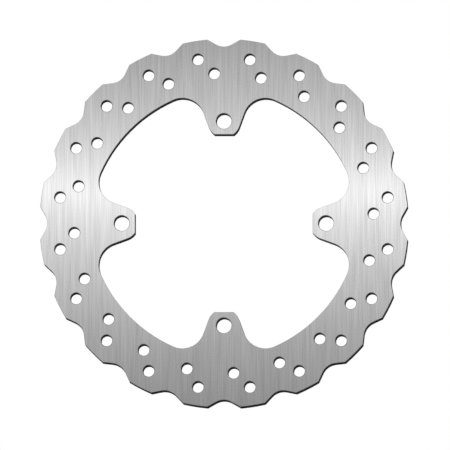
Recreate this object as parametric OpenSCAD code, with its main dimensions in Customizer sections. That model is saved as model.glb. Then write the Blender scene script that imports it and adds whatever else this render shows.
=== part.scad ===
// Solid brake disc for a light off-road motorcycle.
// One flat plate of stainless steel: a braking band with a wavy edge and two rows
// of vent holes, and four legs that reach in from it to the bolts of the hub.
// The disc stands upright. Its axis is Y, its outer face looks along -Y and its
// hub face along +Y. The origin is the disc's centre, halfway through its thickness.

/* [Plate] */
// Diameter across the crests of the wavy edge
disc_d = 240; // [236:1:250]
// Thickness of the plate
disc_t = 4; // [3:0.1:6]
// Width of the braking band where it is narrowest, midway between two legs
band_w = 33.8; // [30:0.2:36]

/* [Wavy edge] */
// Number of hollows round the edge, the same number to each leg
wave_count = 20; // [16:4:24]
// Depth of a hollow below the crests
wave_depth = 5; // [4:0.5:6]
// Radius at the bottom of a hollow
wave_root_r = 10.3; // [8:0.1:11]
// Slope of the straight flanks on each side of a hollow
wave_flank_a = 29.2; // [26:0.2:34]

/* [Windows and legs] */
// Radius of the long arc that bounds each window
window_r = 93.2; // [90:0.2:96]
// Number of legs, with one hub bolt in each
leg_count = 4; // [3:1:6]
// Distance across the ends of two opposite legs
leg_gap_d = 115.6; // [112:0.2:118]
// Radius of a leg's round end about its bolt hole, before it is cut off flat
leg_end_r = 10.7; // [10:0.1:12]
// Angle between a leg's flank and the leg's centre line
leg_flank_a = 20; // [16:1:24]
// Radius that blends a leg's flank into the band
leg_blend_r = 14.6; // [10:0.2:16]

/* [Holes] */
// Diameter of the circle through the hub bolt holes
bolt_circle_d = 133; // [131:0.5:136]
// Diameter of a hub bolt hole
bolt_hole_d = 10; // [8:0.1:11]
// Diameter of a vent hole
vent_hole_d = 7.4; // [6:0.1:8]
// Diameter of the circle through the outer row of vent holes
outer_row_d = 215.8; // [212:0.2:217]
// Diameter of the circle through the inner row of vent holes
inner_row_d = 195.2; // [192:0.2:197]
// Angle from an outer vent hole to its inner one, clockwise seen from the front
inner_row_lag = 5.3; // [4:0.1:6]
// Width of the chamfer at both ends of every hole
hole_chamfer = 0.3; // [0.1:0.1:0.5]

/* [Hidden] */
$fn = 128;

steel = [0.76, 0.76, 0.75];
disc_r = disc_d / 2;
wave_pitch = 360 / wave_count;
leg_pitch = 360 / leg_count;
// How far a cutter runs on past the surface it leaves by
overcut = 1;
// How far curves that should just touch overlap, so that they meet cleanly
touch = 0.001;

// A hollow of the wavy edge, on the +Y axis: a round root, and flanks tangent to it
root_centre = [0, disc_r - wave_depth + wave_root_r];
root_end = root_centre + wave_root_r * [sin(wave_flank_a), -cos(wave_flank_a)];
flank_len = 12;
flank_end = root_end + flank_len * [cos(wave_flank_a), sin(wave_flank_a)];

// The window next to the +X axis: its long arc is struck from beyond the disc's centre
window_shift = window_r - (disc_r - band_w);
window_centre = -window_shift * [cos(leg_pitch / 2), sin(leg_pitch / 2)];

// A leg, along the +X axis. leg_dir runs along its upper flank, and leg_side away from it
leg_dir = [cos(leg_flank_a), sin(leg_flank_a)];
leg_side = [-sin(leg_flank_a), cos(leg_flank_a)];
leg_end_x = leg_gap_d / 2;

// The flank touches the round end, which is struck from the bolt hole's centre
bolt_centre = [bolt_circle_d / 2, 0];
end_on_flank = bolt_centre + (leg_end_r - touch) * leg_side;

// The blend's arc touches the flank from outside and the window's long arc from inside
blend_base = end_on_flank + leg_blend_r * leg_side;
blend_reach = window_r - leg_blend_r;
base_offset = blend_base - window_centre;
base_along = base_offset * leg_dir;
base_apart = base_offset * leg_side;
blend_slide = sqrt(blend_reach ^ 2 - base_apart ^ 2) - base_along;
blend_centre = blend_base + blend_slide * leg_dir;
blend_on_flank = blend_centre - leg_blend_r * leg_side;
blend_on_arc = window_centre + (blend_centre - window_centre) * window_r / blend_reach;
// The leg's root lies inside the band, level with the end of the blend
leg_root = [disc_r - band_w / 2, blend_on_arc[1]];

function mirrored(p) = [p[0], -p[1]];

module round_the_disc(count, start = 0) {
    for (i = [0 : count - 1])
        rotate(start + i * 360 / count)
            children();
}

// A hollow's outline, running on past the edge of the disc
module wave_hollow() {
    translate(root_centre)
        circle(r = wave_root_r);
    polygon([
        root_end,
        flank_end,
        [-flank_end[0], flank_end[1]],
        [-root_end[0], root_end[1]],
    ]);
}

// A leg's outline: a round end cut off flat, and a blend on each side of its root
module leg_outline() {
    half = [end_on_flank, blend_on_flank, blend_on_arc, leg_root];
    other_half = [for (i = [len(half) - 1 : -1 : 0]) mirrored(half[i])];
    difference() {
        union() {
            polygon(concat(half, other_half));
            translate(bolt_centre)
                circle(r = leg_end_r);
        }
        for (centre = [blend_centre, mirrored(blend_centre)])
            translate(centre)
                circle(r = leg_blend_r + touch);
        translate([leg_end_x - leg_end_r, -leg_end_r])
            square([leg_end_r, 2 * leg_end_r]);
    }
}

// The windows, which run together between the ends of the legs
module window_outline() {
    difference() {
        intersection_for (i = [0 : leg_count - 1])
            rotate(i * leg_pitch)
                translate(window_centre)
                    circle(r = window_r);
        round_the_disc(leg_count)
            leg_outline();
    }
}

// The plate's outline as seen from the front, with +Y upwards
module plate_outline() {
    difference() {
        circle(r = disc_r);
        round_the_disc(wave_count)
            wave_hollow();
        window_outline();
    }
}

// A through hole's cutter, chamfered at both faces of the plate
module hole_cutter(d) {
    r = d / 2;
    mouth_r = r + hole_chamfer + overcut;
    rotate_extrude()
        polygon([
            [0, -overcut],
            [mouth_r, -overcut],
            [r, hole_chamfer],
            [r, disc_t - hole_chamfer],
            [mouth_r, disc_t + overcut],
            [0, disc_t + overcut],
        ]);
}

module bolt_holes() {
    round_the_disc(leg_count)
        translate([bolt_circle_d / 2, 0, 0])
            hole_cutter(bolt_hole_d);
}

// An outer hole lies in the middle of each crest, and an inner one a little after it
module vent_holes() {
    crest_a = 90 + wave_pitch / 2;
    round_the_disc(wave_count, crest_a)
        translate([outer_row_d / 2, 0, 0])
            hole_cutter(vent_hole_d);
    round_the_disc(wave_count, crest_a - inner_row_lag)
        translate([inner_row_d / 2, 0, 0])
            hole_cutter(vent_hole_d);
}

// The whole disc: cut from plate, drilled, and stood upright on its edge
module brake_disc() {
    color(steel)
        rotate([90, 0, 0])
            translate([0, 0, -disc_t / 2])
                difference() {
                    linear_extrude(disc_t)
                        plate_outline();
                    bolt_holes();
                    vent_holes();
                }
}

brake_disc();
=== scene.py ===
import math

import bpy
from mathutils import Matrix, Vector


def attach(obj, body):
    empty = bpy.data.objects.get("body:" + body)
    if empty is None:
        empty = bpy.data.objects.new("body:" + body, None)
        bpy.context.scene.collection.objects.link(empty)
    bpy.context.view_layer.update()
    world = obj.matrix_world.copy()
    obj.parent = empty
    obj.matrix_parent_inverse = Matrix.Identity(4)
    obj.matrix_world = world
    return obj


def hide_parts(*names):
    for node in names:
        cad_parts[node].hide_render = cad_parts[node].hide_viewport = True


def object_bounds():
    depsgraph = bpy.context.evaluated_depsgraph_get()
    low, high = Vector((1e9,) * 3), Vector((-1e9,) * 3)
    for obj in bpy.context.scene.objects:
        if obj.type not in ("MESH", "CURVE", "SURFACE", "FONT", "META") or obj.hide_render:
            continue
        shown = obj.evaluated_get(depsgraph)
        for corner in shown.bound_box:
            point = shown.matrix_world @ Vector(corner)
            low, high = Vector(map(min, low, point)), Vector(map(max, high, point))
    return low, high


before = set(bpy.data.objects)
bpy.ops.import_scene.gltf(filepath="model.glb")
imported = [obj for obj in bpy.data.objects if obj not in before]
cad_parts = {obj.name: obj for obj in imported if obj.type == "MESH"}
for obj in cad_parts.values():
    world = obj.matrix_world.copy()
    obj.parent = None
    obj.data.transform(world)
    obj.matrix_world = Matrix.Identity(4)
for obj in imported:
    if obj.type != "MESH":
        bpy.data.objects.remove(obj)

cadLow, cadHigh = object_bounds()
mm = 0.001
print("disc loaded,", round((cadHigh.x - cadLow.x) / mm, 1), "mm across")


def linearColour(hexCode):
    # sRGB hex to the linear values that the shaders take
    channels = [int(hexCode[i:i + 2], 16) / 255 for i in (1, 3, 5)]
    return [c / 12.92 if c <= 0.04045 else ((c + 0.055) / 1.055) ** 2.4 for c in channels] + [1.0]


def addNode(tree, kind, inputs=None, **settings):
    # a node with its settings, and its inputs filled with values or linked to sockets
    node = tree.nodes.new(kind)
    for name, value in settings.items():
        setattr(node, name, value)
    for name, value in (inputs or {}).items():
        if isinstance(value, bpy.types.NodeSocket):
            tree.links.new(value, node.inputs[name])
        else:
            node.inputs[name].default_value = value
    return node


def newMaterial(name):
    material = bpy.data.materials.new(name)
    material.use_nodes = True
    material.node_tree.nodes.clear()
    return material


# Edge of the plate: deburred once the outline is cut, so a narrow line runs round both faces, toned darker
# than the face as painted shade
edgeBreak = {
    "width": 0.2 * mm,
    "sharperThan": math.radians(60),  # the outline's corners, and not the holes' own chamfers
    "crispOver": math.radians(30),
}


def breakEdges(disc, plan):
    weld = disc.modifiers.new("join split corners", "WELD")
    weld.merge_threshold = 0.001 * mm
    bevel = disc.modifiers.new("deburred edge", "BEVEL")
    bevel.width = plan["width"]
    bevel.segments = 1
    bevel.limit_method = "ANGLE"
    bevel.angle_limit = plan["sharperThan"]
    bevel.use_clamp_overlap = False

    # curved walls shade smoothly, and flat faces stay flat right up to the edge
    tree = bpy.data.node_groups.new("crisp edges", "GeometryNodeTree")
    tree.interface.new_socket("Mesh", in_out="INPUT", socket_type="NodeSocketGeometry")
    tree.interface.new_socket("Mesh", in_out="OUTPUT", socket_type="NodeSocketGeometry")
    plain = addNode(tree, "NodeGroupInput").outputs[0]
    fold = addNode(tree, "GeometryNodeInputMeshEdgeAngle").outputs["Unsigned Angle"]
    sharp = addNode(tree, "ShaderNodeMath", {0: fold, 1: plan["crispOver"]}, operation="GREATER_THAN")
    shaded = addNode(tree, "GeometryNodeSetMeshNormal", {"Mesh": plain, "Remove Custom": True,
                     "Edge Sharpness": sharp.outputs[0]})
    addNode(tree, "NodeGroupOutput", {0: shaded.outputs[0]})
    crisp = disc.modifiers.new("crisp edges", "NODES")
    crisp.node_group = tree


# the deburred disc is an object of its own, shown in place of the CAD disc, which is hidden and left as it is
disc = bpy.data.objects.new("deburred_disc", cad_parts["brake_disc"].data.copy())
bpy.context.scene.collection.objects.link(disc)
breakEdges(disc, edgeBreak)
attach(disc, "root")
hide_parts("brake_disc")
print("edges deburred")


# Martensitic stainless steel, belt ground in straight strokes and left bare. The eye sees fine upright lines,
# each a little lighter or darker than the next, a soft sheen drawn out sideways, deburred edges toned darker
# than the face as painted shade, and cut walls left dark by the laser's oxide and darkened further to near
# black as painted shade.
steelFinish = {
    "steel": "#d0d0d0",
    "lineTint": "#c1c1c1",
    "paleTint": "#dedede",
    "lineSpacing": 0.3 * mm,  # belt grit leaves 0.1 mm lines, drawn three times as coarse so that they show
    "lineLength": 28 * mm,
    "bandSpacing": 2 * mm,  # broader, fainter streaks under the lines
    "bandLength": 34 * mm,
    "bandShare": 0.22,
    "grainDepth": 3 * mm,  # how deep into the plate a line runs before another takes its place
    "toneSpread": (0.3, 0.7),  # the part of the grain's noise that goes from the dark tint to the pale one
    "roughness": 0.27,
    "roughnessSpread": 0.012,
    "sheenStretch": 0.7,
    "sheenAcross": (1.0, 0.02, 0.01),  # square to the lines
    "lineDepth": 0.004 * mm,
    # painted shade: the deburred edges are toned darker than the face
    "edge": "#8c8c8c",
    "edgeRoughness": 0.18,
    # the cut walls' laser oxide, deepened to near black as painted shade
    "wallOxideAndShade": "#101010",
    "wallPaleOxideAndShade": "#303030",
    "wallRoughness": 0.85,
    "wallGloss": 0.1,
    "striaSpacing": 0.5 * mm,  # the laser's ripples, which run across the thickness
    "striaLength": 7 * mm,
    "striaSpread": (0.35, 0.65),
    "striaDepth": 0.02 * mm,
    # how squarely a surface looks along the disc's axis, from where it starts to count to where it fully does
    "faceSlope": (0.94, 0.99),
    "wallSlope": (0.5, 0.3),
}


def groundStainless(plan):
    material = newMaterial("ground stainless steel, belt brushed")
    tree = material.node_tree
    where = addNode(tree, "ShaderNodeTexCoord").outputs["Object"]
    facing = addNode(tree, "ShaderNodeNewGeometry").outputs["True Normal"]
    across = addNode(tree, "ShaderNodeSeparateXYZ", {0: facing}).outputs["Y"]
    tilt = addNode(tree, "ShaderNodeMath", {0: across}, operation="ABSOLUTE").outputs[0]
    faceStart, faceFull = plan["faceSlope"]
    wallStart, wallFull = plan["wallSlope"]
    onFace = addNode(tree, "ShaderNodeMapRange", {0: tilt, 1: faceStart, 2: faceFull}).outputs[0]
    onWall = addNode(tree, "ShaderNodeMapRange", {0: tilt, 1: wallStart, 2: wallFull}).outputs[0]

    # belt lines, long upright streaks, with broader bands mixed in
    lineScale = (1 / plan["lineSpacing"], 1 / plan["grainDepth"], 1 / plan["lineLength"])
    lineWhere = addNode(tree, "ShaderNodeVectorMath", {0: where, 1: lineScale}, operation="MULTIPLY")
    lines = addNode(tree, "ShaderNodeTexNoise", {"Vector": lineWhere.outputs[0], "Scale": 1,
                    "Detail": 1, "Roughness": 0.5}).outputs["Fac"]
    bandScale = (1 / plan["bandSpacing"], 1 / plan["grainDepth"], 1 / plan["bandLength"])
    bandWhere = addNode(tree, "ShaderNodeVectorMath", {0: where, 1: bandScale}, operation="MULTIPLY")
    bands = addNode(tree, "ShaderNodeTexNoise", {"Vector": bandWhere.outputs[0], "Scale": 1,
                    "Detail": 0}).outputs["Fac"]
    grain = addNode(tree, "ShaderNodeMix", {0: plan["bandShare"], 2: lines, 3: bands}).outputs[0]
    grainTone = addNode(tree, "ShaderNodeValToRGB", {0: grain})
    ramp = grainTone.color_ramp
    ramp.elements[0].position = plan["toneSpread"][0]
    ramp.elements[0].color = linearColour(plan["lineTint"])
    ramp.elements[1].position = plan["toneSpread"][1]
    ramp.elements[1].color = linearColour(plan["paleTint"])
    middle = ramp.elements.new(sum(plan["toneSpread"]) / 2)
    middle.color = linearColour(plan["steel"])

    # cut walls, rippled across the thickness
    striaScale = (1 / plan["striaSpacing"], 1 / plan["striaLength"], 1 / plan["striaSpacing"])
    striaWhere = addNode(tree, "ShaderNodeVectorMath", {0: where, 1: striaScale}, operation="MULTIPLY")
    stria = addNode(tree, "ShaderNodeTexNoise", {"Vector": striaWhere.outputs[0], "Scale": 1,
                    "Detail": 2, "Roughness": 0.5}).outputs["Fac"]

    # the edges take their painted-shade tone here, the face its grain
    faceColour = addNode(tree, "ShaderNodeMix", {0: onFace, 6: linearColour(plan["edge"]),
                         7: grainTone.outputs[0]}, data_type="RGBA").outputs[2]
    striaDark, striaPale = plan["striaSpread"]
    ripple = addNode(tree, "ShaderNodeMapRange", {0: stria, 1: striaDark, 2: striaPale}).outputs[0]
    # near-black walls: laser oxide darkened further as painted shade, rippled by the stria
    wallOxideAndShadeColour = addNode(tree, "ShaderNodeMix", {0: ripple, 6: linearColour(plan["wallOxideAndShade"]),
                         7: linearColour(plan["wallPaleOxideAndShade"])}, data_type="RGBA").outputs[2]
    colour = addNode(tree, "ShaderNodeMix", {0: onWall, 6: faceColour, 7: wallOxideAndShadeColour},
                     data_type="RGBA").outputs[2]

    faceRough = addNode(tree, "ShaderNodeMapRange", {0: lines, 1: 0.25, 2: 0.75,
                        3: plan["roughness"] + plan["roughnessSpread"],
                        4: plan["roughness"] - plan["roughnessSpread"]}).outputs[0]
    edgeOrFace = addNode(tree, "ShaderNodeMix", {0: onFace, 2: plan["edgeRoughness"],
                         3: faceRough}).outputs[0]
    rough = addNode(tree, "ShaderNodeMix", {0: onWall, 2: edgeOrFace, 3: plan["wallRoughness"]}).outputs[0]
    metal = addNode(tree, "ShaderNodeMath", {0: 1.0, 1: onWall}, operation="SUBTRACT").outputs[0]

    lineBump = addNode(tree, "ShaderNodeBump", {"Height": lines, "Distance": plan["lineDepth"],
                       "Strength": onFace})
    wallBump = addNode(tree, "ShaderNodeBump", {"Height": stria, "Distance": plan["striaDepth"],
                       "Strength": onWall, "Normal": lineBump.outputs[0]})
    sheenX, sheenY, sheenZ = plan["sheenAcross"]
    strokes = addNode(tree, "ShaderNodeCombineXYZ", {0: sheenX, 1: sheenY, 2: sheenZ}).outputs[0]
    steel = addNode(tree, "ShaderNodeBsdfPrincipled", {
        "Base Color": colour,
        "Metallic": metal,
        "Roughness": rough,
        "Anisotropic": plan["sheenStretch"],
        "Tangent": strokes,
        "Specular IOR Level": plan["wallGloss"],
        "Normal": wallBump.outputs[0],
    })
    addNode(tree, "ShaderNodeOutputMaterial", {"Surface": steel.outputs[0]})
    return material


disc.data.materials.clear()
disc.data.materials.append(groundStainless(steelFinish))
print("steel finished")


# Studio: white all round, a floor that the disc stands on, and lit scrims that the metal mirrors
studio = {
    "floorSize": 60,  # metres, so that its far edge never shows
    "floor": "#f7f7f6",
    "dimMirrored": 0.05,  # how bright the studio looks in the steel, in front and behind
    "sidesMirrored": 0.42,  # a large softbox on each side
    "sidesFade": (0.3, 0.7),  # from straight ahead, 0, to straight out, 1
    "roofMirrored": 0.75,  # and one overhead
    "roofFade": (0.35, 0.8),
    "floorMirrored": 0.22,  # the white floor, which shows in the steel from above
    "floorFade": (-0.35, -0.8),
    "sunStrength": 3.3,
    "sunAngle": 50,
}

frontScrim = {
    "name": "front scrim",
    "y": -0.12,
    "halfWidth": 0.55,
    "halfHeight": 0.5,
    "glow": 0.018,  # over the whole cloth
    # height of each bright line, how far from it the light drops to a third, and its strength
    "lines": [(0.0596, 0.1, 1.24), (0.0596, 0.012, 0.27)],
}

backScrim = dict(frontScrim, name="back scrim", y=0.12, lines=[(-0.026, 0.1, 0.75), (-0.026, 0.012, 0.2)])


def scrim(plan):
    # a cloth lit from behind along level lines: bright there, and fading above and below them
    w = plan["halfWidth"]
    h = plan["halfHeight"]
    y = plan["y"]
    mesh = bpy.data.meshes.new(plan["name"])
    corners = [(-w, y, -h), (w, y, -h), (w, y, h), (-w, y, h)]
    mesh.from_pydata(corners, [], [(0, 1, 2, 3)])
    cloth = bpy.data.objects.new(plan["name"], mesh)
    bpy.context.scene.collection.objects.link(cloth)
    material = newMaterial(plan["name"] + " cloth")
    tree = material.node_tree
    where = addNode(tree, "ShaderNodeTexCoord").outputs["Object"]
    height = addNode(tree, "ShaderNodeSeparateXYZ", {0: where}).outputs["Z"]
    power = plan["glow"]
    for lineHeight, fallOff, strength in plan["lines"]:
        rise = addNode(tree, "ShaderNodeMath", {0: height, 1: lineHeight}, operation="SUBTRACT")
        apart = addNode(tree, "ShaderNodeMath", {0: rise.outputs[0]}, operation="ABSOLUTE")
        fade = addNode(tree, "ShaderNodeMath", {0: apart.outputs[0], 1: -fallOff}, operation="DIVIDE")
        fall = addNode(tree, "ShaderNodeMath", {0: fade.outputs[0]}, operation="EXPONENT")
        total = addNode(tree, "ShaderNodeMath", {0: fall.outputs[0], 1: strength, 2: power},
                        operation="MULTIPLY_ADD")
        power = total.outputs[0]
    light = addNode(tree, "ShaderNodeEmission", {"Color": linearColour("#ffffff"), "Strength": power})
    clear = addNode(tree, "ShaderNodeBsdfTransparent")
    both = addNode(tree, "ShaderNodeAddShader", {0: light.outputs[0], 1: clear.outputs[0]})
    addNode(tree, "ShaderNodeOutputMaterial", {"Surface": both.outputs[0]})
    mesh.materials.append(material)
    cloth.visible_camera = False
    cloth.visible_diffuse = False
    cloth.visible_shadow = False
    return cloth


def studioWorld(plan):
    world = bpy.data.worlds.new("white studio")
    world.use_nodes = True
    tree = world.node_tree
    tree.nodes.clear()
    where = addNode(tree, "ShaderNodeTexCoord").outputs["Generated"]
    towards = addNode(tree, "ShaderNodeSeparateXYZ", {0: where})
    sideways = addNode(tree, "ShaderNodeMath", {0: towards.outputs["X"]}, operation="ABSOLUTE")
    sidesStart, sidesFull = plan["sidesFade"]
    roofStart, roofFull = plan["roofFade"]
    floorStart, floorFull = plan["floorFade"]
    sides = addNode(tree, "ShaderNodeMapRange", {0: sideways.outputs[0], 1: sidesStart, 2: sidesFull,
                    3: plan["dimMirrored"], 4: plan["sidesMirrored"]}, interpolation_type="SMOOTHSTEP")
    roof = addNode(tree, "ShaderNodeMapRange", {0: towards.outputs["Z"], 1: roofStart, 2: roofFull,
                   3: 0.0, 4: plan["roofMirrored"]}, interpolation_type="SMOOTHSTEP")
    ground = addNode(tree, "ShaderNodeMapRange", {0: towards.outputs["Z"], 1: floorStart, 2: floorFull,
                     3: 0.0, 4: plan["floorMirrored"]}, interpolation_type="SMOOTHSTEP")
    level = addNode(tree, "ShaderNodeMath", {0: roof.outputs[0], 1: ground.outputs[0]}, operation="ADD")
    mirrored = addNode(tree, "ShaderNodeMath", {0: sides.outputs[0], 1: level.outputs[0]},
                       operation="ADD").outputs[0]
    white = linearColour("#ffffff")
    room = addNode(tree, "ShaderNodeBackground", {"Color": white, "Strength": mirrored})
    backdrop = addNode(tree, "ShaderNodeBackground", {"Color": white, "Strength": 1.0})
    seen = addNode(tree, "ShaderNodeLightPath").outputs["Is Camera Ray"]
    both = addNode(tree, "ShaderNodeMixShader", {0: seen, 1: room.outputs[0], 2: backdrop.outputs[0]})
    addNode(tree, "ShaderNodeOutputWorld", {"Surface": both.outputs[0]})
    bpy.context.scene.world = world


def studioFloor(plan, height):
    half = plan["floorSize"] / 2
    mesh = bpy.data.meshes.new("floor")
    corners = [(-half, -half, height), (half, -half, height), (half, half, height), (-half, half, height)]
    mesh.from_pydata(corners, [], [(0, 1, 2, 3)])
    floor = bpy.data.objects.new("floor", mesh)
    bpy.context.scene.collection.objects.link(floor)
    material = newMaterial("white studio paper")
    tree = material.node_tree
    paper = addNode(tree, "ShaderNodeBsdfDiffuse", {"Color": linearColour(plan["floor"])})
    clear = addNode(tree, "ShaderNodeBsdfTransparent")
    under = addNode(tree, "ShaderNodeNewGeometry").outputs["Backfacing"]
    both = addNode(tree, "ShaderNodeMixShader", {0: under, 1: paper.outputs[0], 2: clear.outputs[0]})
    addNode(tree, "ShaderNodeOutputMaterial", {"Surface": both.outputs[0]})
    mesh.materials.append(material)
    floor.visible_glossy = False
    floor.visible_diffuse = False


def overheadLight(plan):
    lamp = bpy.data.lights.new("overhead light", "SUN")
    lamp.energy = plan["sunStrength"]
    lamp.angle = math.radians(plan["sunAngle"])
    holder = bpy.data.objects.new("overhead light", lamp)
    holder.visible_glossy = False
    bpy.context.scene.collection.objects.link(holder)


scrim(frontScrim)
scrim(backScrim)
studioWorld(studio)
studioFloor(studio, cadLow.z)
overheadLight(studio)
bpy.context.scene.view_settings.view_transform = "Standard"
print("studio lit")


# Camera: parallel view, square to the disc as a view camera's back is, and slid below and to the right
# of it, so that the face keeps its true shape and the walls that look down and right just show
cameraPlan = {
    "frameWidth": 292.9 * mm,
    "distance": 0.5,
    "aimX": 0.78 * mm,  # the point of the outer face in the middle of the view
    "aimZ": -1.2 * mm,
    "leanRight": 0.165,
    "leanDown": 0.33,
    "nearest": 0.01,
    "farthest": 50,
}


def studioCamera(plan):
    camera = bpy.data.cameras.new("camera")
    camera.type = "ORTHO"
    camera.ortho_scale = plan["frameWidth"]
    camera.clip_start = plan["nearest"]
    camera.clip_end = plan["farthest"]
    holder = bpy.data.objects.new("camera", camera)
    aimX = plan["aimX"] + plan["leanRight"] * cadLow.y
    aimZ = plan["aimZ"] - plan["leanDown"] * cadLow.y
    holder.location = (aimX, -plan["distance"], aimZ)
    holder.rotation_euler = (math.radians(90), 0, 0)
    stand = bpy.data.objects.new("camera stand", None)
    for thing in (stand, holder):
        bpy.context.scene.collection.objects.link(thing)
    holder.parent = stand
    holder.matrix_parent_inverse = Matrix((
        (1, -plan["leanRight"], 0, 0),
        (0, 1, 0, 0),
        (0, plan["leanDown"], 1, 0),
        (0, 0, 0, 1),
    ))
    bpy.context.scene.camera = holder


studioCamera(cameraPlan)
print("camera set")
